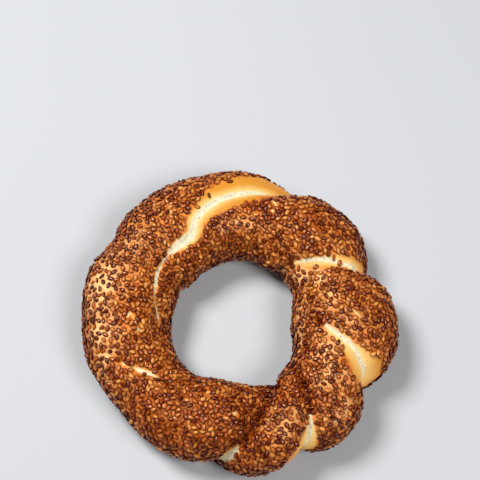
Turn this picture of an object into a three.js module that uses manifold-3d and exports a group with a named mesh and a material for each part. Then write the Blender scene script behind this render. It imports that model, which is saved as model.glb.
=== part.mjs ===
// Simit, a Turkish sesame bread ring, at real size in millimetres, lying on its flat underside.
//
// Two ropes of dough are twisted together and closed into a ring. Seen from above, the twist shows as seams
// that cross the ring from the hole to the outer edge: a long lazy one over the far side, then three tight
// ones and a lapped joint over the near right. The dough has swollen into rounded lobes between the seams.
// Sesame seeds are fused to the crust, at true size.
//
// +Z is up. The origin is on the floor under the middle of the ring's bounding box. A place on the dough is
// a ring angle (0 along +X, 90 along +Y) and a section angle (0 outwards, 90 on top, 180 towards the hole).

import * as THREE from "three";
import { mergeGeometries, mergeVertices } from "three/addons/utils/BufferGeometryUtils.js";
import Module from "manifold-3d";

// Driving dimensions of the dough
const RING_RADIUS = 53.7; // from the ring's middle to the middle of the dough
const HALF_WIDTH = 21.7; // of the dough's section
const FLATNESS = 0.84; // section height over section width
const SWELL_RISE = 0.5; // how much of a swell goes into the height too
const SINK = 2.7; // depth that the flat underside takes off the section
const RING_CENTRE = [-1.6, -1.8]; // puts the middle of the bounding box on the origin

// Where the dough is fatter or thinner, and where the ring bows outwards, as bumps along the ring
const SWELLS = [
  { at: -5, spread: 21, by: 4 },
  { at: -46, spread: 14, by: 1 },
  { at: -90, spread: 22, by: 0.5 },
  { at: -137, spread: 24, by: -4.2 },
  { at: 147, spread: 7, by: -2.6 },
  { at: 122, spread: 34, by: 1.9 },
  { at: 44, spread: 16, by: 1.4 },
];
const BOWS = [
  { at: 2, spread: 18, by: -1.4 },
  { at: -44, spread: 14, by: 0.2 },
  { at: -100, spread: 24, by: -2.3 },
  { at: -140, spread: 26, by: -1.5 },
  { at: 147, spread: 7, by: -0.4 },
  { at: 88, spread: 28, by: 2.3 },
];

// Slow unevenness of hand-rolled dough: waves round the ring and across the section
const LUMPS = [
  { round: 5, across: 2, phase: 0.7, height: 0.35 },
  { round: 9, across: -3, phase: 2.1, height: 0.3 },
  { round: 14, across: 4, phase: 4.0, height: 0.2 },
];

// Seams of the twist. Each path runs from the hole side over the top to the outer side, as [ring angle,
// section angle]. Depth is how deep the seam cuts in at each of those places. Shoulders say how far the
// rounding of the dough reaches from the seam, before and after it going clockwise. Bare lists stretches
// without seeds, as shares of the path, with their half width. Lap is how far the dough after a seam lies
// lower than before it, where one rope lies over the next.
const SEAMS = [
  {
    path: [
      [206, 175], [178, 148], [157, 131], [139, 124.5], [120, 122], [112.5, 102],
      [104, 87], [86.5, 63], [68, 24], [52, -72],
    ],
    depth: [1.6, 2.4, 2.8, 3, 3.4, 3.6, 3.8, 4.2, 10.5, 11],
    shoulders: [9, 6],
    bare: [{ from: 0.08, to: 0.32, width: 1.3 }, { from: 0.34, to: 0.93, width: 7.5 }],
  },
  {
    path: [[58, 236], [48, 161], [40.5, 136], [30.5, 93.5], [23.5, 55], [21.5, 14], [11, -72]],
    depth: [1, 2.6, 4, 4.2, 5.5, 11.2, 11.7],
    shoulders: [7, 6],
    bare: [{ from: 0.28, to: 0.86, width: 4.2 }],
    lap: 1.4,
  },
  {
    path: [[12, 196], [-6, 133], [-13.5, 98], [-17.5, 71.5], [-23.5, 43], [-29.5, -4], [-38, -74]],
    depth: [0.7, 2.6, 4.2, 4.4, 5.4, 11.5, 12],
    shoulders: [7, 7],
    bare: [{ from: 0.19, to: 0.88, width: 7 }],
  },
  {
    path: [[-26, 226], [-44, 142], [-48.5, 108.5], [-54, 70], [-59.5, 32.5], [-64.5, -4], [-74, -74]],
    depth: [1.2, 2.8, 4.2, 4.4, 4.8, 9.2, 9.7],
    shoulders: [7, 6],
    bare: [{ from: 0.49, to: 0.92, width: 6.4 }],
  },
  {
    path: [[-44, 232], [-60, 162], [-74.5, 119], [-81, 82.5], [-88, 43.5], [-95, 0], [-107, -72]],
    depth: [4.4, 6.2, 7.4, 7.8, 7.2, 6, 5.6],
    shoulders: [3.4, 5],
    bare: [{ from: 0.63, to: 0.83, width: 1.8 }],
    lap: 3.4,
  },
  {
    path: [[-129, 128], [-141, 106], [-151, 82.5], [-160, 58], [-167, 41]],
    depth: [0.6, 1.4, 1.6, 1.2, 0.8],
    shoulders: [5, 5],
    bare: [{ from: 0.2, to: 0.56, width: 1.4 }],
  },
];
const LAP_REACH = 15; // how far a lap's step reaches
const LAP_EDGE = 2.5; // width of the step itself
const SEAM_STEPS = 96; // points laid along each seam
const SEAM_TIP = 0.12; // share of a seam over which it dies away at each end

// Sesame seeds
const SEED = { length: 3.3, width: 2.1, top: 0.9, girdle: 0.25, root: 1.8, taper: 0.28, sides: 6 };
const SEED_COUNT = 182;
const SEED_SPACING = 10.2; // least distance between seeds, so that they spread evenly
const SEED_FLOOR = 4.5; // no seed stands out below this height, so that the underside stays flat
const SEED_DRAW = 20240611; // start of the random draw
const SEED_TRIES = 20000;
const NORMAL_STEP = 1.5; // degrees between the points that give the crust's slope

// The grid of the dough's surface
const STEPS_ROUND_RING = 118;
const STEPS_ROUND_SECTION = 24;
const CROWDING = 0.34; // how much closer the grid's steps are at the tight seams than across from them
const CROWDED_AT = -25; // ring angle where they are closest

const CRUST_COLOUR = "#8a4a22";

const rad = THREE.MathUtils.degToRad;
const deg = THREE.MathUtils.radToDeg;
const wrapDegrees = (a) => ((((a + 180) % 360) + 360) % 360) - 180;
const bump = (angle, { at, spread, by }) => by * Math.exp(-((wrapDegrees(angle - at) / spread) ** 2));
const sumOf = (list, valueOf) => list.reduce((total, item) => total + valueOf(item), 0);

// The dough's section before the seams cut into it: its radius in a direction, and the point it reaches.
function plainDough(ringAngle, sectionAngle) {
  const ring = rad(ringAngle);
  const section = rad(sectionAngle);
  const swell = sumOf(SWELLS, (s) => bump(ringAngle, s));
  const halfWidth = HALF_WIDTH + swell;
  const halfHeight = FLATNESS * (HALF_WIDTH + SWELL_RISE * swell);
  const [across, upwards] = [halfHeight * Math.cos(section), halfWidth * Math.sin(section)];
  const lumps = sumOf(LUMPS, (l) => l.height * Math.sin(l.round * ring + l.across * section + l.phase));
  return {
    ring,
    section,
    radius: (halfWidth * halfHeight) / Math.hypot(across, upwards) + lumps,
    middle: RING_RADIUS + sumOf(BOWS, (b) => bump(ringAngle, b)),
    height: halfHeight - SINK,
  };
}

function pointAt({ ring, section, middle, height }, radius) {
  const out = middle + radius * Math.cos(section);
  return new THREE.Vector3(
    RING_CENTRE[0] + out * Math.cos(ring),
    RING_CENTRE[1] + out * Math.sin(ring),
    height + radius * Math.sin(section),
  );
}

// How much of a seam's depth is left near its tips, where it dies away.
function seamFade(share) {
  return THREE.MathUtils.smoothstep(Math.min(share, 1 - share), 0, SEAM_TIP);
}

// Depth at a share of the seam's path, between the depths at the path's places.
function seamDepth(depth, share) {
  const along = share * (depth.length - 1);
  const before = Math.min(Math.floor(along), depth.length - 2);
  return THREE.MathUtils.lerp(depth[before], depth[before + 1], along - before);
}

// Half width of the bare dough at a share of the seam's path.
function bareHalfWidth(seam, share) {
  return Math.max(0, ...seam.bare.map(({ from, to, width }) => {
    const inside = (share - from) / (to - from);
    return inside > 0 && inside < 1 ? width * Math.sin(Math.PI * inside) ** 0.7 : 0;
  }));
}

// Each seam laid on the plain dough as a run of points, with what the surface needs to know at each.
const seamRuns = SEAMS.map((seam) => {
  const places = seam.path.map(([ring, section]) => new THREE.Vector3(ring, section, 0));
  return new THREE.CatmullRomCurve3(places).getPoints(SEAM_STEPS).map((place, i, all) => {
    const share = i / SEAM_STEPS;
    const plain = plainDough(place.x, place.y);
    const next = all[Math.min(i + 1, SEAM_STEPS)];
    const last = all[Math.max(i - 1, 0)];
    const ahead = plainDough(next.x, next.y);
    const behind = plainDough(last.x, last.y);
    const along = pointAt(ahead, ahead.radius).sub(pointAt(behind, behind.radius)).normalize();
    const at = pointAt(plain, plain.radius);
    const up = at.clone().sub(pointAt(plain, 0)).normalize();
    return {
      at,
      aside: along.cross(up),
      depth: seamDepth(seam.depth, share) * seamFade(share),
      shoulders: seam.shoulders,
      lap: (seam.lap ?? 0) * seamFade(share),
      bare: bareHalfWidth(seam, share),
    };
  });
});

function nearestOnSeam(run, point) {
  let best = null;
  let distance = Infinity;
  for (const place of run) {
    const d = place.at.distanceTo(point);
    if (d < distance) [best, distance] = [place, d];
  }
  return { ...best, distance };
}

// A point of the finished dough, and how far it is clear of the bare stretches.
function dough(ringAngle, sectionAngle) {
  const plain = plainDough(ringAngle, sectionAngle);
  const at = pointAt(plain, plain.radius);
  let dent = 0;
  let clearOfBare = Infinity;
  for (const run of seamRuns) {
    const near = nearestOnSeam(run, at);
    const side = at.clone().sub(near.at).dot(near.aside);
    const turn = near.distance > 0 ? 0.5 + (0.5 * side) / near.distance : 0.5;
    const shoulder = THREE.MathUtils.lerp(near.shoulders[0], near.shoulders[1], turn);
    dent += near.depth * Math.exp(-near.distance / shoulder);
    if (near.lap > 0 && side > 0) {
      const step = THREE.MathUtils.smoothstep(side, 0, LAP_EDGE);
      dent += near.lap * step * Math.exp(-near.distance / LAP_REACH);
    }
    clearOfBare = Math.min(clearOfBare, near.distance - near.bare);
  }
  const point = pointAt(plain, plain.radius - dent);
  point.z = Math.max(point.z, 0);
  return { point, clearOfBare };
}

// Closed surface of the dough: a torus whose vertices are moved to their places.
function doughGeometry() {
  const torus = new THREE.TorusGeometry(RING_RADIUS, HALF_WIDTH, STEPS_ROUND_SECTION, STEPS_ROUND_RING);
  const place = torus.getAttribute("position");
  const vertex = new THREE.Vector3();
  for (let i = 0; i < place.count; i++) {
    vertex.fromBufferAttribute(place, i);
    const even = Math.atan2(vertex.y, vertex.x);
    const out = Math.hypot(vertex.x, vertex.y) - RING_RADIUS;
    const crowded = even - CROWDING * Math.sin(even - rad(CROWDED_AT));
    const { point } = dough(deg(crowded), deg(Math.atan2(vertex.z, out)));
    place.setXYZ(i, point.x, point.y, point.z);
  }
  return torus;
}

// One sesame seed: a six-sided girdle, narrower at one end, with a low top and a root in the crust.
function seedGeometry() {
  const seed = new THREE.SphereGeometry(0.5, SEED.sides, 2);
  seed.rotateX(Math.PI / 2);
  const acrossFlats = Math.cos(Math.PI / SEED.sides);
  const place = seed.getAttribute("position");
  for (let i = 0; i < place.count; i++) {
    const x = place.getX(i);
    const y = place.getY(i) / acrossFlats;
    const rise = 2 * place.getZ(i);
    const reach = rise > 0 ? SEED.top - SEED.girdle : SEED.girdle + SEED.root;
    place.setXYZ(i, x * SEED.length, y * SEED.width * (1 - 2 * SEED.taper * x), SEED.girdle + rise * reach);
  }
  return seed;
}

// Small repeatable random draw from 0 to 1.
function randomDraw(state) {
  return () => {
    state = (state + 0x6d2b79f5) | 0;
    let t = Math.imul(state ^ (state >>> 15), 1 | state);
    t = (t + Math.imul(t ^ (t >>> 7), 61 | t)) ^ t;
    return ((t ^ (t >>> 14)) >>> 0) / 4294967296;
  };
}

// The dough's surface as a frame: its point, its outward normal and the direction round the ring.
function crustFrame(ringAngle, sectionAngle) {
  const { point, clearOfBare } = dough(ringAngle, sectionAngle);
  const beside = (ringStep, sectionStep) => dough(ringAngle + ringStep, sectionAngle + sectionStep).point;
  const round = beside(NORMAL_STEP, 0).sub(beside(-NORMAL_STEP, 0));
  const across = beside(0, NORMAL_STEP).sub(beside(0, -NORMAL_STEP));
  const outward = round.clone().cross(across).normalize();
  return { point, outward, round: round.normalize(), clearOfBare };
}

// Seeds spread over the crust, none on bare dough, on the underside or too near another.
function seedGeometries() {
  const draw = randomDraw(SEED_DRAW);
  const seeds = [];
  const placed = [];
  for (let tries = 0; tries < SEED_TRIES && seeds.length < SEED_COUNT; tries++) {
    const ringAngle = 360 * draw();
    const sectionAngle = 360 * draw();
    const turn = Math.PI * 2 * draw();
    const chance = draw();
    const reach = RING_RADIUS + HALF_WIDTH * Math.cos(rad(sectionAngle));
    if (chance > reach / (RING_RADIUS + HALF_WIDTH)) continue;
    const { point, outward, round, clearOfBare } = crustFrame(ringAngle, sectionAngle);
    if (point.z < SEED_FLOOR || clearOfBare < SEED.length / 2) continue;
    if (placed.some((other) => other.distanceTo(point) < SEED_SPACING)) continue;
    placed.push(point);
    const long = round.applyAxisAngle(outward, turn);
    const wide = outward.clone().cross(long);
    const place = new THREE.Matrix4().makeBasis(long, wide, outward).setPosition(point);
    seeds.push(seedGeometry().applyMatrix4(place));
  }
  return seeds;
}

const wasm = await Module();
wasm.setup();

function solidFrom(geometry) {
  geometry.deleteAttribute("normal");
  geometry.deleteAttribute("uv");
  const merged = mergeVertices(geometry, 1e-4);
  return new wasm.Manifold(new wasm.Mesh({
    numProp: 3,
    vertProperties: merged.getAttribute("position").array,
    triVerts: new Uint32Array(merged.index.array),
  }));
}

function geometryFrom(solid) {
  const { vertProperties, triVerts } = solid.getMesh();
  const geometry = new THREE.BufferGeometry();
  geometry.setAttribute("position", new THREE.BufferAttribute(vertProperties, 3));
  geometry.setIndex(new THREE.BufferAttribute(triVerts, 1));
  geometry.computeVertexNormals();
  return geometry;
}

const seededDough = solidFrom(doughGeometry()).add(solidFrom(mergeGeometries(seedGeometries())));

const simit = new THREE.Mesh(
  geometryFrom(seededDough),
  new THREE.MeshStandardMaterial({ color: CRUST_COLOUR, roughness: 0.55, metalness: 0 }),
);
simit.name = "simit";

const part = new THREE.Group();
part.add(simit);

export default part;
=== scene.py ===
"""Bakes a simit: a Turkish bread ring of two twisted ropes of dough under toasted sesame seeds.

The crust is one closed ring that takes the place of the frame's plain one and keeps its form. The seeds
are three pieces, one for each degree of toasting, and each seed is modelled at its true size.

A place on the dough is a ring angle (0 along +X, 90 along +Y) and a section angle (0 outwards, 90 on top,
180 towards the hole), both in degrees. The tables of the dough's shape are in millimetres.
"""

import math
import random

import bmesh
import bpy
import numpy as np
from mathutils import Matrix, Vector, noise
from mathutils.kdtree import KDTree


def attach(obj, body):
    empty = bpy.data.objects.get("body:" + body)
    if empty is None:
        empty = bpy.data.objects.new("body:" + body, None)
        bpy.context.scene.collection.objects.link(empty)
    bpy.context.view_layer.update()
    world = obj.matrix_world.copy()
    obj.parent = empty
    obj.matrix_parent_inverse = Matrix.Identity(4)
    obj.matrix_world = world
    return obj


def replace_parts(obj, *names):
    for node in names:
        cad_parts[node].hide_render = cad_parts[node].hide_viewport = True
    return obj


bl_info = {
    "name": "Simit",
    "version": (1, 0, 0),
    "blender": (4, 5, 0),
    "location": "3D View > Sidebar > Simit",
    "description": "Bakes a simit, with its twisted crust and its toasted sesame seeds",
    "category": "Add Mesh",
}

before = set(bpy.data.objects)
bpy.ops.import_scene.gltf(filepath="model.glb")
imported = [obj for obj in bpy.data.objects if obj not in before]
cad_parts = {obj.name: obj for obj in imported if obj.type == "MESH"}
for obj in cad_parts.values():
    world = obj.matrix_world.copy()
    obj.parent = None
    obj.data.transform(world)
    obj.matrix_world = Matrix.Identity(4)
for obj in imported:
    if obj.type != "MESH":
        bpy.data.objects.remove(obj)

MM = 0.001
NODE = "simit"
BODY = "root"

# Ring centre in millimetres, so that the middle of the ring's box is on the origin
RING_CENTRE = (-1.6, -1.8)

# Where the dough is fatter or thinner, and where the ring bows outwards: ring angle, its spread, height
SWELLS = (
    (-5, 21, 4),
    (-46, 14, 1),
    (-90, 22, 0.5),
    (-137, 24, -4.2),
    (147, 7, -2.6),
    (122, 34, 1.9),
    (44, 16, 1.4),
)
BOWS = (
    (2, 18, -1.4),
    (-44, 14, 0.2),
    (-100, 24, -2.3),
    (-140, 26, -1.5),
    (147, 7, -0.4),
    (88, 28, 2.3),
)
# Slow unevenness of hand-rolled dough: waves round the ring, waves across the section, phase, height
LUMPS = ((5, 2, 0.7, 0.35), (9, -3, 2.1, 0.3), (14, 4, 4.0, 0.2))

CROWDING = 0.35  # how much closer the crust's faces are on top than underneath
BLOCK = 20000  # points that are measured at a time, to save memory

PICTURE_WIDTH = 480
RING_PIXEL = (236, 322)  # where the ring's middle shows, 24 pixels higher than in the photograph

# Seams of the twist, from the hole side over the top to the outer side. Path lists ring and section
# angles, and depth is at each place of it. Shoulders say how far the dough's rounding reaches before and
# after the seam, going clockwise, and lap is how far the dough after it lies lower. Split lists what
# shows where the crust has torn open: share of the path, half width of the pale crumb, and half width of
# the bare crust before and after the seam. Glow is how far from the crumb the bare crust turns from cream
# to gold.
SEAMS = (
    {
        "path": (
            (206, 175), (178, 148), (157, 131), (139, 124.5), (120, 122), (112.5, 102), (104, 87),
            (86.5, 63), (68, 24), (52, -72),
        ),
        "depth": (1.6, 2.4, 2.8, 3, 3.4, 3.6, 3.8, 4.2, 10.5, 11),
        "shoulders": (9, 6),
        "lap": 0,
        "glow": 4.4,
        "split": (
            (0.05, 0, 0, 0),
            (0.11, 0.3, 0.6, 0.6),
            (0.16, 0.15, 0.5, 0.5),
            (0.19, 0.3, 0.6, 0.6),
            (0.22, 0.9, 1.2, 1.2),
            (0.27, 0.8, 1.1, 1.1),
            (0.3, 0.2, 0.6, 0.6),
            (0.34, 0.4, 0.8, 0.8),
            (0.36, 2.2, 2.8, 2.4),
            (0.4, 2.6, 3.4, 3.6),
            (0.45, 2.4, 3.4, 4.4),
            (0.49, 1.9, 3.4, 4.4),
            (0.53, 1.6, 3.6, 4.6),
            (0.58, 1.8, 4, 6),
            (0.63, 2, 5.2, 6.8),
            (0.68, 2, 7.2, 7.4),
            (0.73, 1.9, 9.2, 7.6),
            (0.79, 1.6, 11, 7.6),
            (0.84, 1.2, 13, 6.4),
            (0.88, 0.6, 12, 4.6),
            (0.92, 0, 8, 3),
            (0.96, 0, 0, 0),
        ),
    },
    {
        "path": ((58, 236), (48, 161), (40.5, 136), (30.5, 93.5), (23.5, 55), (21.5, 14), (11, -72)),
        "depth": (1, 2.6, 4, 4.2, 5.5, 11.2, 11.7),
        "shoulders": (7, 6),
        "lap": 1.4,
        "glow": 3.8,
        "split": (
            (0.24, 0, 0, 0),
            (0.3, 0.3, 0.5, 1.6),
            (0.36, 0.6, 1, 3.6),
            (0.42, 0.9, 1.3, 4.6),
            (0.48, 1.1, 2, 4.2),
            (0.53, 1, 3.4, 3),
            (0.58, 0.9, 4.4, 2.2),
            (0.65, 1.2, 4.4, 2.6),
            (0.73, 1.1, 4.6, 2.6),
            (0.8, 0.9, 4.4, 2),
            (0.86, 0.6, 3.8, 1.4),
            (0.9, 0, 2, 0.8),
            (0.94, 0, 0, 0),
        ),
    },
    {
        "path": ((12, 196), (-6, 133), (-13.5, 98), (-17.5, 71.5), (-23.5, 43), (-29.5, -4), (-38, -74)),
        "depth": (0.7, 2.6, 4.2, 4.4, 5.4, 11.5, 12),
        "shoulders": (7, 7),
        "lap": 0,
        "glow": 7.5,
        "split": (
            (0.19, 0, 0, 0),
            (0.21, 0.5, 0.8, 1),
            (0.26, 1, 1.5, 3),
            (0.33, 1, 1.6, 3.8),
            (0.42, 1.2, 1.6, 5.4),
            (0.5, 1.3, 2.4, 6.4),
            (0.58, 1.3, 4.6, 7.2),
            (0.67, 1.2, 8, 7.8),
            (0.75, 0.8, 9.5, 6),
            (0.8, 0.4, 8.5, 3.4),
            (0.84, 0, 5, 1.6),
            (0.89, 0, 0, 0),
        ),
    },
    {
        "path": (
            (-26, 226), (-44, 142), (-48.5, 108.5), (-54, 70), (-59.5, 32.5), (-64.5, -4), (-74, -74),
        ),
        "depth": (1.2, 2.8, 4.2, 4.4, 4.8, 9.2, 9.7),
        "shoulders": (7, 6),
        "lap": 0,
        "glow": 7,
        "split": (
            (0.49, 0, 0, 0),
            (0.54, 0.5, 0.9, 1),
            (0.6, 1, 2.2, 3.2),
            (0.67, 1.2, 3.8, 7),
            (0.74, 1.2, 5, 9.6),
            (0.8, 1.1, 5.6, 11.4),
            (0.87, 0.6, 4.8, 11),
            (0.92, 0, 2, 6),
            (0.95, 0, 0, 0),
        ),
    },
    {
        "path": ((-44, 232), (-60, 162), (-74.5, 119), (-81, 82.5), (-88, 43.5), (-95, 0), (-107, -72)),
        "depth": (4.4, 6.2, 7.4, 7.8, 7.2, 6, 5.6),
        "shoulders": (3.4, 5),
        "lap": 3.4,
        "glow": 3,
        "split": (
            (0.67, 0, 0, 0),
            (0.71, 0.7, 0.5, 1.4),
            (0.76, 1.2, 0.8, 2.4),
            (0.82, 1.1, 0.7, 2.6),
            (0.87, 0.4, 0.4, 1.4),
            (0.91, 0, 0, 0),
        ),
    },
    {
        "path": ((-129, 128), (-141, 106), (-151, 82.5), (-160, 58), (-167, 41)),
        "depth": (0.6, 1.4, 1.6, 1.2, 0.8),
        "shoulders": (5, 5),
        "lap": 0,
        "glow": 2,
        "split": (
            (0.2, 0, 0, 0),
            (0.25, 0.2, 0.7, 0.5),
            (0.3, 0.4, 0.8, 1.1),
            (0.34, 0.9, 1.5, 1.2),
            (0.38, 0.5, 1, 1.2),
            (0.43, 0.9, 1.3, 1.7),
            (0.48, 0.3, 1.2, 0.7),
            (0.54, 0, 0.5, 0.4),
            (0.6, 0, 0, 0),
        ),
    },
)
SEAM_STEPS = 240
SEAM_TIP = 0.12  # share of a seam over which it dies away at each end
SEAM_ROUNDING = 0.25  # radius at the bottom of a closed seam
SPLIT_ROUNDING = 0.9  # what a split adds to it, as a share of the crumb's half width
LAP_REACH = 15.0  # how far from a seam the lower dough rises again
LAP_EDGE = 2.5  # width of the step down to it
TRENCH_DEPTH = 1.4  # of the narrow line where two ropes of dough still touch
TRENCH_WIDTH = 0.7
CLOSED_WIDTH = (1.4, 0.2)  # bare width at which a seam starts to count as closed, and counts in full
CLOSED_DEPTH = 4.0  # from which a closed seam has its full line and shade
GROOVE_SHADE = (0.35, 0.3)  # reach of a closed seam's shade: share of its depth, and what is added
CRACK_WIDTH = 0.35  # of the dark line of bubbles along the crumb
CRACK_SHIFT = 0.3  # how far before the crumb's middle it runs, as a share of the crumb's half width
CRACKED_CRUMB = (0.5, 1.2)  # half width of the crumb at which that line starts, and is complete
NARROW_SPLIT = (0.3, 1.2)  # half width under which a split closes, and how far out of reach it then is

# Unevenness of the crust: height of its lumps, their size, and which draw of the noise. A height that
# isn't in metres is a share: of the width of a split, or of the full strength of a patch.
EDGE_LUMPS = (0.22, 3.2 * MM, 1)
EDGE_WAVES = (0.15, 9 * MM, 2)
FRAYED_EDGE = (0.45 * MM, 1.3 * MM, 6)
CRUST_LUMPS = (0.16 * MM, 5 * MM, 3)
CRUMB_LUMPS = (0.3 * MM, 1.1 * MM, 8)
CRUMB_LUMPS_START = 0.6  # how far inside the crumb's edge its lumps have their full height
PALE_LUMPS = (0.22, 6 * MM, 4)
PALE_SPECKS = (0.12, 2 * MM, 5)
BROWN_LUMPS = (0.5, 11 * MM, 7)

# Where each kind of crust starts, and where it is complete
BARE_EDGE = (-0.5, 0.7)  # inside the edge of the bare crust
CRUMB_EDGE = (-0.6, 0.5)  # inside the edge of the crumb
# The crust near a seed is painted darker, as shade round it, up to here
OPEN_EDGE = (1.05, 1.75)  # from the middle of the nearest seed
UNDERSIDE_EDGE = (1.2, 0.2)  # over the floor
# Steepness, for the painted light on steep bare crust and crumb
STEEP_EDGE = (0.9, 0.3)  # upward part of the crust's direction, 1 where it is level

# Small tears and flecks of pale crumb: path, and half width
FLECKS = (
    (((-176, 95), (-179, 101), (-174, 109)), 0.6),
    (((-171, 96), (-170.5, 104)), 0.5),
    (((-171.5, 110), (-169, 111), (-167.5, 114)), 0.8),
    (((-37.5, 49), (-40, 45), (-41, 43)), 0.5),
    (((-42, 40), (-44, 37), (-45.5, 34)), 0.7),
    (((-47.5, 35), (-48.5, 40)), 0.6),
    (((73.5, 74), (71, 78), (69.5, 86)), 0.5),
    (((71.5, 90), (70, 96)), 0.6),
    (((-164.5, 37), (-161.5, 50), (-159.5, 61)), 0.5),
    (((-157, 66), (-155, 70), (-152, 77)), 0.5),
    (((-173, 60), (-170, 52)), 0.4),
    (((-91.5, 96), (-90, 109)), 0.6),
    (((1.5, 82), (-2, 74), (-4, 65)), 0.4),
    (((120.5, 68), (124.5, 77)), 0.5),
)
FLECK_STEPS = 16
FLECK_CRUMB = 0.5  # share of its half width that is surely crumb
FLECK_BARE = 0.3  # how far beyond its half width the crust is bare

# Seeds that stayed on the bare crust of a split
STRAYS = (
    (113, 71), (108, 70), (102.5, 69), (109.5, 83), (92.5, 45), (139, 119), (137, 131), (33.5, 90),
    (30.5, 84), (27, 78), (31, 121), (-16, 109), (-17.5, 100), (-19.5, 92), (-11.5, 86), (-153.5, 83),
    (-145.5, 91),
)

# Patches where the seeds lie wider apart and the crust between them stayed pale: ring angle, section
# angle, their spreads, and how strong the patch is
PALE_PATCHES = (
    (169, 48, 16, 27, 1.0),
    (-172, 52, 12, 26, 0.85),
    (-161, 37, 11, 14, 0.55),
    (147, 64, 13, 28, 0.42),
    (-18, 166, 16, 13, 0.85),
    (1, 158, 10, 15, 0.7),
    (34, 147, 8, 15, 0.95),
    (25, 124, 6, 12, 0.85),
    (45, 167, 6, 12, 0.7),
    (10, 112, 9, 17, 0.62),
    (89, 123, 15, 10, 0.5),
    (-43, 40, 6, 14, 0.6),
    (-67, 72, 8, 26, 0.5),
    (-25, 116, 9, 20, 0.65),
    (-36, 92, 7, 22, 0.6),
    (-8, 90, 8, 25, 0.35),
)

# Patches where the crust browned more, in the same way
BROWN_PATCHES = (
    (-115, 75, 26, 60, 1.0),
    (52, 80, 16, 45, 0.7),
    (150, 165, 30, 25, 0.5),
    (90, 150, 25, 20, 0.5),
    (75, 85, 10, 30, 0.5),
    (-62, 110, 8, 30, 0.6),
)

# Degrees of toasting: name, share of the seeds, tone from 0 (burnt) to 1 (pale), and how much it varies
TOASTS = (
    ("dark", 0.30, 0.15, 0.12),
    ("brown", 0.38, 0.48, 0.14),
    ("golden", 0.32, 0.80, 0.13),
)
# How much darker the seeds are: painted shade in closed seams, their own tone in the two kinds of patches
BROWNING_AND_GROOVE_SHADE = {"painted_groove_shade": 0.8, "browned": 0.08, "pale": 0.38}

SEEDED_SECTION = (-62, 242)  # section angles between which seeds lie, over the top
SEED_MARGIN = (0.35, 0.7)  # how far from bare crust they stay, as shares of a seed's width
LOWEST_SEED = 2.1  # least height of a seed's middle over the floor

SEED_FACES = (8, 5)  # round a seed's edge, and from its underside to its top
SEED_TAPER = (0.22, 0.10)  # share of its width that it loses towards its point, and towards both ends
# The seed's dark edge is partly burnt and partly painted shade where it meets the crust
RIM_HEIGHTS = (0.16, 0.4, 0.5)  # away from its middle plane, as shares of its thickness
RIM_DARKNESS = (1, 0.3, 0)  # of its edge at those heights

# How much seeds differ: tilt in radians, the rest as shares
SEED_NOD = 0.18
SEED_ROLL = 0.26
SIZE_VARIES = 0.06
WIDTH_VARIES = 0.07
THICKNESS_VARIES = 0.1
LIFT_RANGE = (0.3, 2.2)

TURN_TRIES = 8  # directions that a seed tries when it settles
SEED_REACH = 0.28  # how far from its middle it needs room then, as a share of its length
FACING_STEP = 1.2  # degrees from a seed to where the crust's direction under it is measured

STEEP_SIDE_PAINTED_LIGHT = 1.5  # painted light: how much paler a tear's steep sides are made, where less light falls on them
WARM_SHINE = (1.0, 0.77, 0.6)  # tint of the shine of browned sugar and oil

# Soft lamps over the ring: place and width of each in metres, and the point that both aim at
KEY_LAMP = ((-0.55, 0.4, 1.1), 0.5)
FILL_LAMP = ((0.6, -0.4, 1.1), 0.6)
LAMP_AIM = (0, 0, 0.02)


def linear(hex_colour):
    """Linear red, green and blue of an sRGB hex colour."""
    channels = (int(hex_colour[i : i + 2], 16) / 255 for i in (1, 3, 5))
    return tuple(c / 12.92 if c <= 0.04045 else ((c + 0.055) / 1.055) ** 2.4 for c in channels)


class DoughSizes(bpy.types.PropertyGroup):
    ring_radius: bpy.props.FloatProperty(
        name="Ring radius",
        description="From the ring's middle to the middle of the dough",
        default=53.7 * MM,
        subtype="DISTANCE",
    )
    half_width: bpy.props.FloatProperty(
        name="Half width",
        description="Half the width of the dough's section",
        default=21.7 * MM,
        subtype="DISTANCE",
    )
    flatness: bpy.props.FloatProperty(
        name="Flatness", description="Height of the section over its width", default=0.84
    )
    swell_rise: bpy.props.FloatProperty(
        name="Swell rise", description="How much of a swell goes into the height too", default=0.5
    )
    sink: bpy.props.FloatProperty(
        name="Sink",
        description="Depth that the flat underside takes off the section",
        default=2.7 * MM,
        subtype="DISTANCE",
    )
    steps_round_ring: bpy.props.IntProperty(
        name="Steps round the ring", description="Faces of the crust along the ring", default=480
    )
    steps_round_section: bpy.props.IntProperty(
        name="Steps round the section", description="Faces of the crust across the dough", default=200
    )


class SeedSizes(bpy.types.PropertyGroup):
    length: bpy.props.FloatProperty(
        name="Length", description="Of a sesame seed", default=3.6 * MM, subtype="DISTANCE"
    )
    width: bpy.props.FloatProperty(
        name="Width", description="Of a sesame seed", default=2.1 * MM, subtype="DISTANCE"
    )
    thickness: bpy.props.FloatProperty(
        name="Thickness", description="Of a sesame seed", default=1.0 * MM, subtype="DISTANCE"
    )
    spacing: bpy.props.FloatProperty(
        name="Spacing",
        description="Least distance between the middles of two seeds where they lie close",
        default=2.05 * MM,
        subtype="DISTANCE",
    )
    wide_spacing: bpy.props.FloatProperty(
        name="Wide spacing",
        description="Least distance between seeds where the crust is pale",
        default=2.65 * MM,
        subtype="DISTANCE",
    )
    lift: bpy.props.FloatProperty(
        name="Lift",
        description="Height of a seed's middle over the crust it is stuck in",
        default=0.3 * MM,
        subtype="DISTANCE",
    )
    tries: bpy.props.IntProperty(name="Tries", description="Seeds dropped on the crust", default=90000)
    draw: bpy.props.IntProperty(name="Draw", description="Start of the random draw", default=7)


def colour_property(name, description, hex_colour):
    return bpy.props.FloatVectorProperty(
        name=name,
        description=description,
        subtype="COLOR",
        size=3,
        min=0,
        max=1,
        default=linear(hex_colour),
    )


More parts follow.
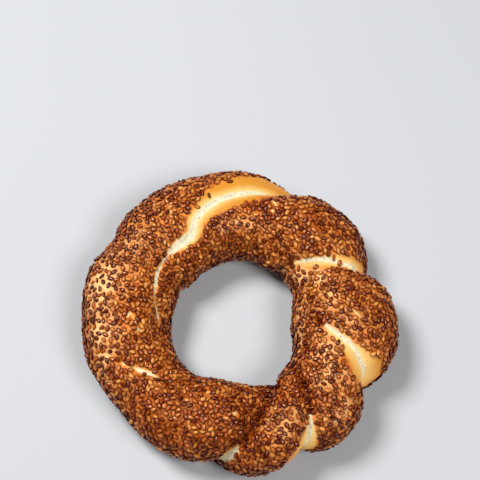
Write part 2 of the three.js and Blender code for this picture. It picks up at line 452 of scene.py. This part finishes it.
class BakeColours(bpy.types.PropertyGroup):
    crust: colour_property("Crust", "Baked crust between the seeds", "#d67c33")
    # Dark crust: browned glaze, and also painted shade round the seeds and in closed seams
    dark_crust_and_shade: colour_property("Dark crust", "Where the glaze has pooled round the seeds", "#6e2600")
    web: colour_property("Pale crust", "Crust between seeds that lie wide apart", "#f2c688")
    gold: colour_property("Golden crust", "Smooth bare crust along a split", "#c4822b")
    gold_pale: colour_property("Pale gold", "Bare crust close to the crumb", "#d9b168")
    crumb: colour_property("Crumb", "Torn pale crumb in a split", "#d2c9ab")
    pore: colour_property("Pore", "Bubbles in the crumb", "#62523a")
    underside: colour_property("Underside", "Flat base that the ring baked on", "#9a6230")
    seed_dark: colour_property("Dark seed", "Well toasted sesame", "#5e1b02")
    seed_brown: colour_property("Brown seed", "Toasted sesame", "#a84e14")
    seed_gold: colour_property("Golden seed", "Lightly toasted sesame", "#d98b3e")
    # The seed rim is partly a burnt edge and partly painted shade where the seed meets the crust
    burnt_and_shaded_seed_edge: colour_property("Seed rim", "Burnt edge of a seed", "#320400")


class StageSizes(bpy.types.PropertyGroup):
    elevation: bpy.props.FloatProperty(
        name="Elevation",
        description="How steeply the camera looks down",
        default=math.radians(74),
        subtype="ANGLE",
    )
    distance: bpy.props.FloatProperty(
        name="Distance", description="From the camera to the ring", default=0.5635, subtype="DISTANCE"
    )
    focal_length: bpy.props.FloatProperty(
        name="Focal length", description="In pixels of a picture 480 pixels wide", default=1150
    )
    floor_size: bpy.props.FloatProperty(
        name="Floor size", description="Side of the floor", default=4.0, subtype="DISTANCE"
    )
    daylight: bpy.props.FloatProperty(
        name="Daylight", description="Strength of the light from all round", default=0.14
    )
    key_power: bpy.props.FloatProperty(
        name="Key lamp",
        description="Power of the lamp behind on the left",
        default=20,
        subtype="POWER",
    )
    fill_power: bpy.props.FloatProperty(
        name="Fill lamp",
        description="Power of the lamp in front on the right",
        default=11.6,
        subtype="POWER",
    )
    floor: colour_property("Floor", "Matt painted board", "#b0b2b5")


# The shape of the dough


def wrapped(degrees):
    return (degrees + 180) % 360 - 180


def bumps(ring, table):
    """Sum of the bumps of a table at ring angles, in metres."""
    return sum(by * MM * np.exp(-((wrapped(ring - at) / spread) ** 2)) for at, spread, by in table)


def smoothstep(value, low, high):
    x = np.clip((value - low) / (high - low), 0, 1)
    return x * x * (3 - 2 * x)


def plain_dough(ring, section, sizes):
    """Section radius, and how far out and how high the section's middle is, before the seams."""
    swell = bumps(ring, SWELLS)
    half_width = sizes.half_width + swell
    half_height = sizes.flatness * (sizes.half_width + sizes.swell_rise * swell)
    r, s = np.radians(ring), np.radians(section)
    oval = half_width * half_height / np.hypot(half_height * np.cos(s), half_width * np.sin(s))
    lumps = sum(h * MM * np.sin(n * r + m * s + phase) for n, m, phase, h in LUMPS)
    middle = sizes.ring_radius + bumps(ring, BOWS)
    return oval + lumps, middle, half_height - sizes.sink


def place_on(ring, section, radius, middle, height):
    r, s = np.radians(ring), np.radians(section)
    out = middle + radius * np.cos(s)
    x = RING_CENTRE[0] * MM + out * np.cos(r)
    y = RING_CENTRE[1] * MM + out * np.sin(r)
    return np.stack([x, y, height + radius * np.sin(s)], axis=-1)


def unit(vectors):
    return vectors / np.linalg.norm(vectors, axis=-1, keepdims=True)


def smooth_path(places, steps):
    """Curve through places without corners or loops, and the share of the path at each of its points."""
    spots = np.array(places, float)
    spots = np.vstack([2 * spots[0] - spots[1], spots, 2 * spots[-1] - spots[-2]])
    shares = np.linspace(0, 1, steps + 1)
    along = shares * (len(places) - 1)
    span = np.minimum(along.astype(int), len(places) - 2)
    w = (along - span)[:, None]
    a, b, c, d = (spots[span + k] for k in range(4))
    ab, bc, cd = (np.sqrt(np.linalg.norm(q - p, axis=1))[:, None] for p, q in ((a, b), (b, c), (c, d)))
    leave = (b - a) * bc / ab - (c - a) * bc / (ab + bc) + (c - b)
    arrive = (c - b) - (d - b) * bc / (bc + cd) + (d - c) * bc / cd
    ease = w * w * (3 - 2 * w)
    return shares, b + (c - b) * ease + leave * w * (1 - w) ** 2 - arrive * w * w * (1 - w)


def lay_seam(seam, sizes, steps=SEAM_STEPS):
    """A seam laid on the plain dough: its points, directions, and what the crust does at each of them."""
    shares, path = smooth_path(seam["path"], steps)
    ring, section = path.T
    radius, middle, height = plain_dough(ring, section, sizes)
    at = place_on(ring, section, radius, middle, height)
    up = unit(at - place_on(ring, section, 0 * radius, middle, height))
    strides = np.gradient(at, axis=0)
    fade = smoothstep(np.minimum(shares, 1 - shares), 0, SEAM_TIP)
    depth = np.interp(shares, np.linspace(0, 1, len(seam["depth"])), seam["depth"])
    split = np.array(seam["split"])
    crumb, bare_before, bare_after = (np.interp(shares, split[:, 0], split[:, k]) * MM for k in (1, 2, 3))
    return {
        "at": at,
        "along": unit(strides),
        "aside": np.cross(unit(strides), up),
        "half_gap": np.linalg.norm(strides, axis=1) / 2,
        "depth": depth * fade * MM,
        "shoulders": np.array(seam["shoulders"]) * MM,
        "lap": seam["lap"] * fade * MM,
        "crumb": crumb,
        "bare": (bare_before, bare_after),
        "glow": seam["glow"] * MM,
    }


def lay_fleck(path, width, sizes):
    """A small tear, as a very shallow seam."""
    bare = width + FLECK_BARE
    seam = {
        "path": path,
        "depth": (0.3, 0.3),
        "shoulders": (1, 1),
        "lap": 0,
        "glow": 1.2,
        "split": ((0, 0, 0, 0), (0.4, FLECK_CRUMB * width, bare, bare), (1, 0, 0, 0)),
    }
    return lay_seam(seam, sizes, FLECK_STEPS)


def lay_seams(sizes):
    return [lay_seam(seam, sizes) for seam in SEAMS] + [lay_fleck(*fleck, sizes) for fleck in FLECKS]


def beside_seam(seam, points):
    """For each point the nearest point of a seam, how far the seam is, and how far aside of it."""
    nearest = np.empty(len(points), int)
    own = (seam["at"] ** 2).sum(1)
    for first in range(0, len(points), BLOCK):
        block = points[first : first + BLOCK]
        nearest[first : first + BLOCK] = (own - 2 * block @ seam["at"].T).argmin(1)
    along = seam["along"][nearest]
    away = points - seam["at"][nearest]
    slide = np.clip((away * along).sum(1), -seam["half_gap"][nearest], seam["half_gap"][nearest])
    away = away - along * slide[:, None]
    return nearest, np.linalg.norm(away, axis=1), (away * seam["aside"][nearest]).sum(1)


def uneven(points, lumps):
    """Smooth noise with lumps of about the given height and size."""
    height, size, draw = lumps
    shift = Vector((draw, 2 * draw, 3 * draw))
    return height * np.array([noise.noise(Vector(p) / size + shift) for p in points])


def patches(ring, section, table):
    """How strongly the patches of a table cover places on the dough."""
    cover = np.zeros(len(ring))
    for ring_at, section_at, ring_spread, section_spread, strength in table:
        along = wrapped(ring - ring_at) / ring_spread
        across = wrapped(section - section_at) / section_spread
        cover = np.maximum(cover, strength * np.exp(-(along**2) - across**2))
    return cover


def beyond(distance, width):
    """How far outside of a split a point is; a split of no width is out of reach."""
    narrow, away = NARROW_SPLIT
    return distance - width + away * MM * smoothstep(width, narrow * MM, 0)


def between(value, ends):
    """Share from 0 to 1 of the way between two ends in millimetres."""
    return smoothstep(value, ends[0] * MM, ends[1] * MM)


def bake(ring, section, sizes, seams):
    """Points of the finished crust, and what the crust is like at each of them.

    Clear and crumb are distances outside of the bare crust and of the crumb. The others go from 0 to 1:
    the crack along the crumb's middle, the painted shade of a closed seam's groove, the glow of bare crust
    near the crumb, and how pale and how browned the seeded crust is.
    """
    radius, middle, height = plain_dough(ring, section, sizes)
    at = place_on(ring, section, radius, middle, height)
    edge = 1 + uneven(at, EDGE_LUMPS) + uneven(at, EDGE_WAVES)
    fray = uneven(at, FRAYED_EDGE)
    dent = np.zeros(len(at))
    clear = np.full(len(at), np.inf)
    crumb = np.full(len(at), np.inf)
    crack = np.zeros(len(at))
    painted_groove_shade = np.zeros(len(at))
    glow = np.zeros(len(at))
    for seam in seams:
        nearest, distance, side = beside_seam(seam, at)
        turn = 0.5 + 0.5 * side / np.maximum(distance, 1e-9)
        shoulder = seam["shoulders"][0] * (1 - turn) + seam["shoulders"][1] * turn
        before, after = (wide[nearest] for wide in seam["bare"])
        bare = (before * (1 - turn) + after * turn) * edge
        torn = seam["crumb"][nearest] * edge
        depth = seam["depth"][nearest]
        floor = SPLIT_ROUNDING * torn + SEAM_ROUNDING * MM
        dent += depth * np.exp((floor - np.hypot(distance, floor)) / shoulder)
        step = smoothstep(side, 0, LAP_EDGE * MM) * np.exp(-distance / (LAP_REACH * MM))
        dent += seam["lap"][nearest] * step
        closed = between(before + after, CLOSED_WIDTH) * smoothstep(depth, 0, CLOSED_DEPTH * MM)
        trench = closed * np.exp(-((distance / (TRENCH_WIDTH * MM)) ** 2))
        dent += TRENCH_DEPTH * MM * trench
        # Painted shade along a closed seam, which darkens the crust and the seeds in it
        shade_reach = GROOVE_SHADE[0] * depth + GROOVE_SHADE[1] * MM
        painted_groove_shade = np.maximum(painted_groove_shade, closed * np.exp(-distance / shade_reach))
        clear = np.minimum(clear, beyond(distance + fray, bare))
        crumb = np.minimum(crumb, beyond(distance + fray, torn))
        line = np.exp(-(((side + CRACK_SHIFT * torn + fray) / (CRACK_WIDTH * MM)) ** 2))
        crack = np.maximum(crack, line * between(torn, CRACKED_CRUMB))
        glow = np.maximum(glow, np.where(torn > 0, smoothstep(distance - torn, seam["glow"], 0), 0))
    dent += uneven(at, CRUST_LUMPS)
    dent += smoothstep(crumb, 0, -CRUMB_LUMPS_START * MM) * uneven(at, CRUMB_LUMPS)
    points = place_on(ring, section, radius - dent, middle, height)
    points[:, 2] = np.maximum(points[:, 2], 0)
    pale = patches(ring, section, PALE_PATCHES) + uneven(at, PALE_LUMPS) + uneven(at, PALE_SPECKS)
    browned = patches(ring, section, BROWN_PATCHES) + uneven(at, BROWN_LUMPS)
    return {
        "points": points,
        "clear": clear,
        "crumb": crumb,
        "crack": crack,
        "painted_groove_shade": painted_groove_shade,
        "glow": glow,
        "pale": np.clip(pale, 0, 1),
        "browned": np.clip(browned, 0, 1),
    }


# Making meshes and materials


def put_on_scene(name, mesh):
    piece = bpy.data.objects.new(name, mesh)
    bpy.context.scene.collection.objects.link(piece)
    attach(piece, BODY)
    return piece


def paint(mesh, name, values):
    """Keeps a number for each vertex, for the material to read."""
    layer = mesh.attributes.new(name, "FLOAT", "POINT")
    layer.data.foreach_set("value", np.asarray(values, np.float32))


def add_node(tree, kind, settings=None, inputs=None):
    """Adds a node, sets its settings, and fills its inputs, by name or number, with a value or a link."""
    node = tree.nodes.new(kind)
    for name, value in (settings or {}).items():
        setattr(node, name, value)
    for key, value in (inputs or {}).items():
        socket = node.inputs[key]
        if isinstance(value, bpy.types.NodeSocket):
            tree.links.new(value, socket)
        elif socket.type == "RGBA":
            socket.default_value = (*value, 1)
        else:
            socket.default_value = value
    return node


def new_material(name):
    material = bpy.data.materials.new(name)
    material.use_nodes = True
    material.node_tree.nodes.clear()
    return material, material.node_tree


def mixed(tree, share, first, second):
    """Colour that goes from first to second with share."""
    node = add_node(tree, "ShaderNodeMix", {"data_type": "RGBA"}, {0: share, 6: first, 7: second})
    return node.outputs[2]


def attribute(tree, name):
    return add_node(tree, "ShaderNodeAttribute", {"attribute_name": name}).outputs["Fac"]


def maths(tree, operation, first, second):
    return add_node(tree, "ShaderNodeMath", {"operation": operation}, {0: first, 1: second}).outputs[0]


def times(tree, first, second):
    return maths(tree, "MULTIPLY", first, second)


def greater(tree, first, second):
    return maths(tree, "MAXIMUM", first, second)


def stretched(tree, value, low, high, to_low=0.0, to_high=1.0):
    """Goes from to_low to to_high while a value goes from low to high, and stays there beyond."""
    inputs = {"Value": value, "From Min": low, "From Max": high, "To Min": to_low, "To Max": to_high}
    return add_node(tree, "ShaderNodeMapRange", None, inputs).outputs[0]


def own_place(tree):
    return add_node(tree, "ShaderNodeTexCoord").outputs["Object"]


def mottle(tree, size):
    """Noise with patches of a size in metres, on the piece's own coordinates."""
    inputs = {"Vector": own_place(tree), "Scale": 1 / size, "Detail": 3.0}
    return add_node(tree, "ShaderNodeTexNoise", None, inputs).outputs["Fac"]


def bubbles(tree, size):
    """Distance from the nearest of points scattered a size in metres apart, as a share of that size."""
    inputs = {"Vector": own_place(tree), "Scale": 1 / size}
    return add_node(tree, "ShaderNodeTexVoronoi", None, inputs).outputs["Distance"]


def roughened(tree, height, strength, distance):
    inputs = {"Height": height, "Strength": strength, "Distance": distance}
    return add_node(tree, "ShaderNodeBump", None, inputs).outputs[0]


def finish_surface(tree, inputs):
    shader = add_node(tree, "ShaderNodeBsdfPrincipled", None, inputs)
    add_node(tree, "ShaderNodeOutputMaterial", None, {"Surface": shader.outputs[0]})


def crust_material(colours):
    """Baked bread crust, brushed with molasses and water before baking.

    The sugar browns to a deep orange between the seeds and shines softly. Where the dough tore in the
    oven, the late crust is smooth and golden, and the crumb in the tear is cream, matt and pricked with
    bubbles. Its colour also holds painted shade round the seeds and in closed seams, and painted light on
    the steep sides of the tears.
    """
    material, tree = new_material("baked and glazed bread crust")
    stains = stretched(tree, mottle(tree, 5 * MM), 0.42, 0.68, 0, 0.7)
    specks = stretched(tree, mottle(tree, 1.1 * MM), 0.35, 0.7)
    open_crust = attribute(tree, "open")
    crumb = attribute(tree, "crumb")
    bare = attribute(tree, "bare")
    stained = mixed(tree, stains, colours.crust, colours.dark_crust_and_shade)
    baked_more = mixed(tree, times(tree, attribute(tree, "browned"), 0.7), stained, colours.dark_crust_and_shade)
    # Painted shade round each seed, partly pooled glaze: the crust turns dark close to it
    browned = mixed(tree, open_crust, colours.dark_crust_and_shade, baked_more)
    blush = stretched(tree, mottle(tree, 3.5 * MM), 0.4, 0.65, 1, 0.45)
    # The pale crust is painted darker close to each seed too, as shade
    paleness = times(tree, stretched(tree, open_crust, 0, 0.7, 0.3, 1), blush)
    web = mixed(tree, paleness, colours.crust, colours.web)
    seeded = mixed(tree, attribute(tree, "pale"), browned, web)
    # Painted shade in the grooves of closed seams
    seeded = mixed(tree, attribute(tree, "painted_groove_shade"), seeded, colours.dark_crust_and_shade)
    gold = mixed(tree, attribute(tree, "glow"), colours.gold, colours.gold_pale)
    crust = mixed(tree, bare, seeded, gold)
    holes = stretched(tree, bubbles(tree, 1.8 * MM), 0.2, 0.12, 0, 0.85)
    broken = stretched(tree, mottle(tree, 1.4 * MM), 0.47, 0.62, 0, 0.6)
    pitted = greater(tree, holes, times(tree, attribute(tree, "crack"), broken))
    shaded = times(tree, stretched(tree, mottle(tree, 2.2 * MM), 0.42, 0.62), 0.12)
    torn = mixed(tree, pitted, mixed(tree, shaded, colours.crumb, colours.pore), colours.pore)
    # Painted light: steep bare crust and crumb are made paler, where less light falls on them
    inputs = {
        "Color": mixed(tree, crumb, crust, torn),
        "Value": STEEP_SIDE_PAINTED_LIGHT,
        "Fac": times(tree, attribute(tree, "steep"), greater(tree, crumb, bare)),
    }
    painted_side_light = add_node(tree, "ShaderNodeHueSaturation", None, inputs).outputs[0]
    inputs = {
        "Base Color": mixed(tree, attribute(tree, "underside"), painted_side_light, colours.underside),
        "Roughness": stretched(tree, crumb, 0, 1, 0.42, 0.85),
        "Normal": roughened(tree, specks, 0.4, 0.3 * MM),
        "Specular IOR Level": stretched(tree, bare, 0, 1, 0.07, 0.2),
        "Specular Tint": WARM_SHINE,
    }
    finish_surface(tree, inputs)
    return material


def seed_material(colours):
    """Toasted sesame stuck on with molasses.

    It is brown with a dark edge, partly burnt and partly painted shade where it meets the crust, and
    glossy where the syrup lies thicker.
    """
    material, tree = new_material("glazed toasted sesame")
    tone = attribute(tree, "tone")
    rim = attribute(tree, "rim")
    darker = mixed(tree, stretched(tree, tone, 0.0, 0.5), colours.seed_dark, colours.seed_brown)
    toasted = mixed(tree, stretched(tree, tone, 0.5, 1.0), darker, colours.seed_gold)
    # Dark edge: partly burnt, partly painted shade; weaker on paler seeds
    edge = times(tree, rim, stretched(tree, tone, 0.3, 1, 1, 0.6))
    inputs = {
        "Base Color": mixed(tree, edge, toasted, colours.burnt_and_shaded_seed_edge),
        "Roughness": stretched(tree, mottle(tree, 2.6 * MM), 0.4, 0.6, 0.42, 0.17),
        "Specular IOR Level": stretched(tree, rim, 0, 1, 0.7, 0.08),
        "Normal": roughened(tree, mottle(tree, 0.5 * MM), 0.25, 0.1 * MM),
        "Specular Tint": WARM_SHINE,
    }
    finish_surface(tree, inputs)
    return material


# The crust


class SIMIT_OT_crust(bpy.types.Operator):
    """Rolls, twists and bakes the ring of dough"""

    bl_idname = "simit.crust"
    bl_label = "Bake the crust"

    def execute(self, context):
        sizes = context.scene.simit_dough
        bm = bmesh.new()
        upright = Matrix.Rotation(math.radians(90), 4, "X")
        upright.translation = (sizes.ring_radius, 0, 0)
        bmesh.ops.create_circle(
            bm, segments=sizes.steps_round_section, radius=sizes.half_width, matrix=upright
        )
        bmesh.ops.spin(
            bm,
            geom=bm.verts[:] + bm.edges[:],
            cent=(0, 0, 0),
            axis=(0, 0, 1),
            angle=math.tau,
            steps=sizes.steps_round_ring,
            use_merge=True,
        )
        bmesh.ops.recalc_face_normals(bm, faces=bm.faces[:])
        for face in bm.faces:
            face.smooth = True
        mesh = bpy.data.meshes.new("crust")
        bm.to_mesh(mesh)
        bm.free()
        self.shape(mesh, sizes)
        mesh.materials.append(crust_material(context.scene.simit_colours))
        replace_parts(put_on_scene("crust", mesh), NODE)
        return {"FINISHED"}

    def shape(self, mesh, sizes):
        """Moves the plain ring's vertices to the crust's, closer together on top, and paints them."""
        flat = np.empty(len(mesh.vertices) * 3, np.float32)
        mesh.vertices.foreach_get("co", flat)
        x, y, z = flat.reshape(-1, 3).T.astype(float)
        ring = np.degrees(np.arctan2(y, x))
        section = np.arctan2(z, np.hypot(x, y) - sizes.ring_radius)
        section = np.degrees(section + CROWDING * np.cos(section))
        baked = bake(ring, section, sizes, lay_seams(sizes))
        mesh.vertices.foreach_set("co", baked["points"].astype(np.float32).ravel())
        for name in ("glow", "painted_groove_shade", "pale", "browned", "crack"):
            paint(mesh, name, baked[name])
        paint(mesh, "bare", between(-baked["clear"], BARE_EDGE))
        paint(mesh, "crumb", between(-baked["crumb"], CRUMB_EDGE))
        # Distance to the seeds, for the painted shade round them
        paint(mesh, "open", between(self.seed_distance(baked["points"], sizes), OPEN_EDGE))
        paint(mesh, "underside", between(baked["points"][:, 2], UNDERSIDE_EDGE))
        mesh.update()
        mesh.vertex_normals.foreach_get("vector", flat)
        # Steepness, for the painted light on the tears' steep sides
        paint(mesh, "steep", smoothstep(flat[2::3], *STEEP_EDGE))

    def seed_distance(self, points, sizes):
        """Distance from each point of the crust to the middle of the nearest seed."""
        places = drop_seeds(sizes, bpy.context.scene.simit_seeds)[2]["points"]
        tree = KDTree(len(places))
        for i, place in enumerate(places):
            tree.insert(place, i)
        tree.balance()
        return np.array([tree.find(point)[2] for point in points])


# The seeds


def seed_shape(sizes):
    """One sesame seed along X: a flat drop, pointed at one end, with its edge painted as rim."""
    bm = bmesh.new()
    bmesh.ops.create_uvsphere(bm, u_segments=SEED_FACES[0], v_segments=SEED_FACES[1], radius=0.5)
    for vertex in bm.verts:
        along = vertex.co.x * 2
        taper = 1 - SEED_TAPER[0] * along - SEED_TAPER[1] * along * along
        vertex.co.x *= sizes.length
        vertex.co.y *= sizes.width * taper
        vertex.co.z *= sizes.thickness
    for face in bm.faces:
        face.smooth = True
    mesh = bpy.data.meshes.new("seed shape")
    bm.to_mesh(mesh)
    bm.free()
    heights = np.array([abs(v.co.z) for v in mesh.vertices]) / sizes.thickness
    paint(mesh, "rim", np.interp(heights, RIM_HEIGHTS, RIM_DARKNESS))
    seed = bpy.data.objects.new("seed shape", mesh)
    bpy.context.scene.collection.objects.link(seed)
    return seed


def scatter_tree(seed):
    """Geometry nodes that put a real copy of the seed at each point, turned and sized as it says."""
    tree = bpy.data.node_groups.new("scatter", "GeometryNodeTree")
    tree.interface.new_socket("Geometry", in_out="INPUT", socket_type="NodeSocketGeometry")
    tree.interface.new_socket("Geometry", in_out="OUTPUT", socket_type="NodeSocketGeometry")
    vector = {"data_type": "FLOAT_VECTOR"}
    turn, size = (
        add_node(tree, "GeometryNodeInputNamedAttribute", vector, {"Name": name}).outputs[0]
        for name in ("turn", "size")
    )
    inputs = {
        "Points": add_node(tree, "NodeGroupInput").outputs[0],
        "Instance": add_node(tree, "GeometryNodeObjectInfo", None, {"Object": seed}).outputs["Geometry"],
        "Rotation": turn,
        "Scale": size,
    }
    copies = add_node(tree, "GeometryNodeInstanceOnPoints", None, inputs).outputs[0]
    real = add_node(tree, "GeometryNodeRealizeInstances", None, {"Geometry": copies}).outputs[0]
    add_node(tree, "NodeGroupOutput", None, {0: real})
    return tree


class Grid:
    """Points kept in square boxes, to find the near ones quickly."""

    def __init__(self, box):
        self.box = box
        self.kept = {}

    def key(self, point):
        return tuple(int(math.floor(c / self.box)) for c in point)

    def add(self, point, item):
        self.kept.setdefault(self.key(point), []).append(item)

    def near(self, point):
        x, y, z = self.key(point)
        steps = (-1, 0, 1)
        boxes = ((x + i, y + j, z + k) for i in steps for j in steps for k in steps)
        return [item for box in boxes for item in self.kept.get(box, ())]


def drop_seeds(sizes, seeds):
    """Drops seeds on the crust until no more fit: the angles of those that stay, and the crust there."""
    rng = np.random.default_rng(seeds.draw)
    ring = np.append([at for at, _ in STRAYS], rng.uniform(-180, 180, seeds.tries))
    section = np.append([at for _, at in STRAYS], rng.uniform(*SEEDED_SECTION, seeds.tries))
    baked = bake(ring, section, sizes, lay_seams(sizes))
    margin = rng.uniform(*SEED_MARGIN, len(ring)) * seeds.width
    allowed = (baked["clear"] > margin) & (baked["points"][:, 2] > LOWEST_SEED * MM)
    allowed[: len(STRAYS)] = True
    spacing = seeds.spacing + (seeds.wide_spacing - seeds.spacing) * baked["pale"]
    grid = Grid(seeds.wide_spacing)
    chosen = []
    for i in np.flatnonzero(allowed):
        point = baked["points"][i]
        near = grid.near(point)
        if all(math.dist(point, baked["points"][k]) > min(spacing[i], spacing[k]) for k in near):
            grid.add(point, i)
            chosen.append(i)
    return ring[chosen], section[chosen], {name: values[chosen] for name, values in baked.items()}


def crust_frames(ring, section, sizes):
    """Outward direction and direction round the ring at places on the crust."""
    seams = lay_seams(sizes)
    step = FACING_STEP
    ahead, behind, above, below = (
        bake(ring + r, section + s, sizes, seams)["points"]
        for r, s in ((step, 0), (-step, 0), (0, step), (0, -step))
    )
    around = unit(ahead - behind)
    return unit(np.cross(around, above - below)), around


def settle_turns(points, outward, around, seeds):
    """Turns each seed so that it lies clear of those already down, as jostled seeds do."""
    rng = random.Random(seeds.draw)
    grid = Grid(seeds.length)
    spots = np.array([-1, 0, 1]) * SEED_REACH * seeds.length
    turns = np.zeros(len(points))
    taken = np.zeros((len(points), len(spots), 3))
    tries = np.arange(TURN_TRIES) * math.pi / TURN_TRIES
    for i, point in enumerate(points):
        across = np.cross(outward[i], around[i])
        angles = tries + rng.uniform(0, math.pi / TURN_TRIES)
        ways = np.cos(angles)[:, None] * around[i] + np.sin(angles)[:, None] * across
        rows = point + ways[:, None] * spots[None, :, None]
        near = grid.near(point)
        if near:
            others = taken[near].reshape(-1, 3)
            gaps = np.linalg.norm(rows[:, :, None] - others[None, None], axis=3).min(axis=(1, 2))
            best = int(gaps.argmax())
        else:
            best = rng.randrange(TURN_TRIES)
        turns[i] = angles[best] + (math.pi if rng.random() < 0.5 else 0)
        taken[i] = rows[best]
        grid.add(point, i)
    return turns


class SIMIT_OT_seeds(bpy.types.Operator):
    """Drops the sesame seeds on the crust, a piece for each degree of toasting"""

    bl_idname = "simit.seeds"
    bl_label = "Drop the seeds"

    def execute(self, context):
        scene = context.scene
        sizes, seeds = scene.simit_dough, scene.simit_seeds
        ring, section, baked = drop_seeds(sizes, seeds)
        points = baked["points"]
        outward, around = crust_frames(ring, section, sizes)
        turns = settle_turns(points, outward, around, seeds)
        rng = random.Random(seeds.draw + 1)
        kinds = rng.choices(range(len(TOASTS)), [share for _, share, _, _ in TOASTS], k=len(points))
        material = seed_material(scene.simit_colours)
        shape = seed_shape(seeds)
        tree = scatter_tree(shape)
        for kind, (name, _, tone, varies) in enumerate(TOASTS):
            bm = bmesh.new()
            angles, scales, tones = [], [], []
            for i, toast in enumerate(kinds):
                if toast != kind:
                    continue
                lie = Matrix((around[i], np.cross(outward[i], around[i]), outward[i])).transposed()
                nod, roll = rng.gauss(0, SEED_NOD), rng.gauss(0, SEED_ROLL)
                tilt = Matrix.Rotation(nod, 3, "Y") @ Matrix.Rotation(roll, 3, "X")
                lie = lie @ Matrix.Rotation(turns[i], 3, "Z") @ tilt
                lift = seeds.lift * rng.uniform(*LIFT_RANGE)
                bm.verts.new(Vector(points[i]) + Vector(outward[i]) * lift)
                angles.extend(lie.to_euler())
                grown = rng.gauss(1, SIZE_VARIES)
                wide = grown * rng.gauss(1, WIDTH_VARIES)
                thick = grown * rng.gauss(1, THICKNESS_VARIES)
                scales.extend((grown, wide, thick))
                # Painted shade darkens the seeds in closed seams; the patches give their own tone
                darker = sum(much * baked[what][i] for what, much in BROWNING_AND_GROOVE_SHADE.items())
                tones.append(min(max(rng.gauss(tone, varies) - darker, 0), 1))
            mesh = bpy.data.meshes.new("seed places")
            bm.to_mesh(mesh)
            bm.free()
            for label, values in (("turn", angles), ("size", scales)):
                layer = mesh.attributes.new(label, "FLOAT_VECTOR", "POINT")
                layer.data.foreach_set("vector", values)
            paint(mesh, "tone", tones)
            real = self.scattered(mesh, tree, context)
            real.name = f"{name} seeds"
            real.materials.clear()
            real.materials.append(material)
            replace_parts(put_on_scene(f"seeds_{name}", real), NODE)
        bpy.data.objects.remove(shape)
        return {"FINISHED"}

    def scattered(self, mesh, tree, context):
        """The mesh of real seeds that the scatter makes of the seeds' places."""
        places = bpy.data.objects.new("seed places", mesh)
        context.scene.collection.objects.link(places)
        places.modifiers.new("scatter", "NODES").node_group = tree
        real = bpy.data.meshes.new_from_object(places.evaluated_get(context.evaluated_depsgraph_get()))
        bpy.data.objects.remove(places)
        return real


# The stage


def hang_lamp(name, place, width, power):
    light = bpy.data.lights.new(name, "AREA")
    light.shape = "DISK"
    light.size = width
    light.energy = power
    lamp = bpy.data.objects.new(name, light)
    lamp.location = place
    lamp.rotation_euler = (Vector(LAMP_AIM) - Vector(place)).to_track_quat("-Z", "Y").to_euler()
    bpy.context.scene.collection.objects.link(lamp)


class SIMIT_OT_stage(bpy.types.Operator):
    """Lays the floor and sets the lights and the camera"""

    bl_idname = "simit.stage"
    bl_label = "Set the stage"

    def execute(self, context):
        scene = context.scene
        stage = scene.simit_stage
        self.lay_floor(stage)
        self.set_lights(scene, stage)
        self.set_camera(scene, stage)
        return {"FINISHED"}

    def lay_floor(self, stage):
        bm = bmesh.new()
        bmesh.ops.create_grid(bm, x_segments=1, y_segments=1, size=stage.floor_size / 2)
        mesh = bpy.data.meshes.new("floor")
        bm.to_mesh(mesh)
        bm.free()
        material, tree = new_material("matt painted board")
        shade = tuple(c * 0.96 for c in stage.floor)
        tint = mixed(tree, mottle(tree, 0.3), stage.floor, shade)
        finish_surface(tree, {"Base Color": tint, "Roughness": 0.7})
        mesh.materials.append(material)
        floor = bpy.data.objects.new("floor", mesh)
        bpy.context.scene.collection.objects.link(floor)

    def set_lights(self, scene, stage):
        world = bpy.data.worlds.new("studio")
        world.use_nodes = True
        background = world.node_tree.nodes["Background"]
        background.inputs["Color"].default_value = (1, 1, 1, 1)
        background.inputs["Strength"].default_value = stage.daylight
        scene.world = world
        hang_lamp("key", *KEY_LAMP, stage.key_power)
        hang_lamp("fill", *FILL_LAMP, stage.fill_power)
        scene.view_settings.view_transform = "Standard"

    def set_camera(self, scene, stage):
        """Looks at the ring as in the photograph, but aims a little lower, so that all of it shows."""
        sizes = scene.simit_dough
        height = sizes.flatness * sizes.half_width - sizes.sink
        aside = (PICTURE_WIDTH / 2 - RING_PIXEL[0]) / stage.focal_length * stage.distance
        target = Vector((RING_CENTRE[0] * MM + aside, RING_CENTRE[1] * MM, height))
        back = Vector((0, -math.cos(stage.elevation), math.sin(stage.elevation)))
        camera = bpy.data.cameras.new("camera")
        camera.sensor_width = 36
        camera.lens = stage.focal_length / PICTURE_WIDTH * camera.sensor_width
        down = math.atan((RING_PIXEL[1] - PICTURE_WIDTH / 2) / stage.focal_length)
        eye = bpy.data.objects.new("camera", camera)
        eye.location = target + back * stage.distance
        eye.rotation_euler = (math.pi / 2 - stage.elevation + down, 0, 0)
        scene.collection.objects.link(eye)
        scene.camera = eye


class SIMIT_PT_panel(bpy.types.Panel):
    bl_label = "Simit"
    bl_idname = "SIMIT_PT_panel"
    bl_space_type = "VIEW_3D"
    bl_region_type = "UI"
    bl_category = "Simit"

    def draw(self, context):
        scene = context.scene
        for group in (scene.simit_dough, scene.simit_seeds, scene.simit_colours, scene.simit_stage):
            box = self.layout.box()
            for name in group.__annotations__:
                box.prop(group, name)
        for operator in (SIMIT_OT_crust, SIMIT_OT_seeds, SIMIT_OT_stage):
            self.layout.operator(operator.bl_idname)


GROUPS = {
    "simit_dough": DoughSizes,
    "simit_seeds": SeedSizes,
    "simit_colours": BakeColours,
    "simit_stage": StageSizes,
}
CLASSES = (*GROUPS.values(), SIMIT_OT_crust, SIMIT_OT_seeds, SIMIT_OT_stage, SIMIT_PT_panel)


def register():
    for each in CLASSES:
        bpy.utils.register_class(each)
    for name, group in GROUPS.items():
        setattr(bpy.types.Scene, name, bpy.props.PointerProperty(type=group))


def unregister():
    for name in GROUPS:
        delattr(bpy.types.Scene, name)
    for each in reversed(CLASSES):
        bpy.utils.unregister_class(each)


def main():
    register()
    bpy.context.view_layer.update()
    bpy.ops.simit.crust()
    bpy.ops.simit.seeds()
    bpy.ops.simit.stage()


if __name__ == "__main__":
    main()
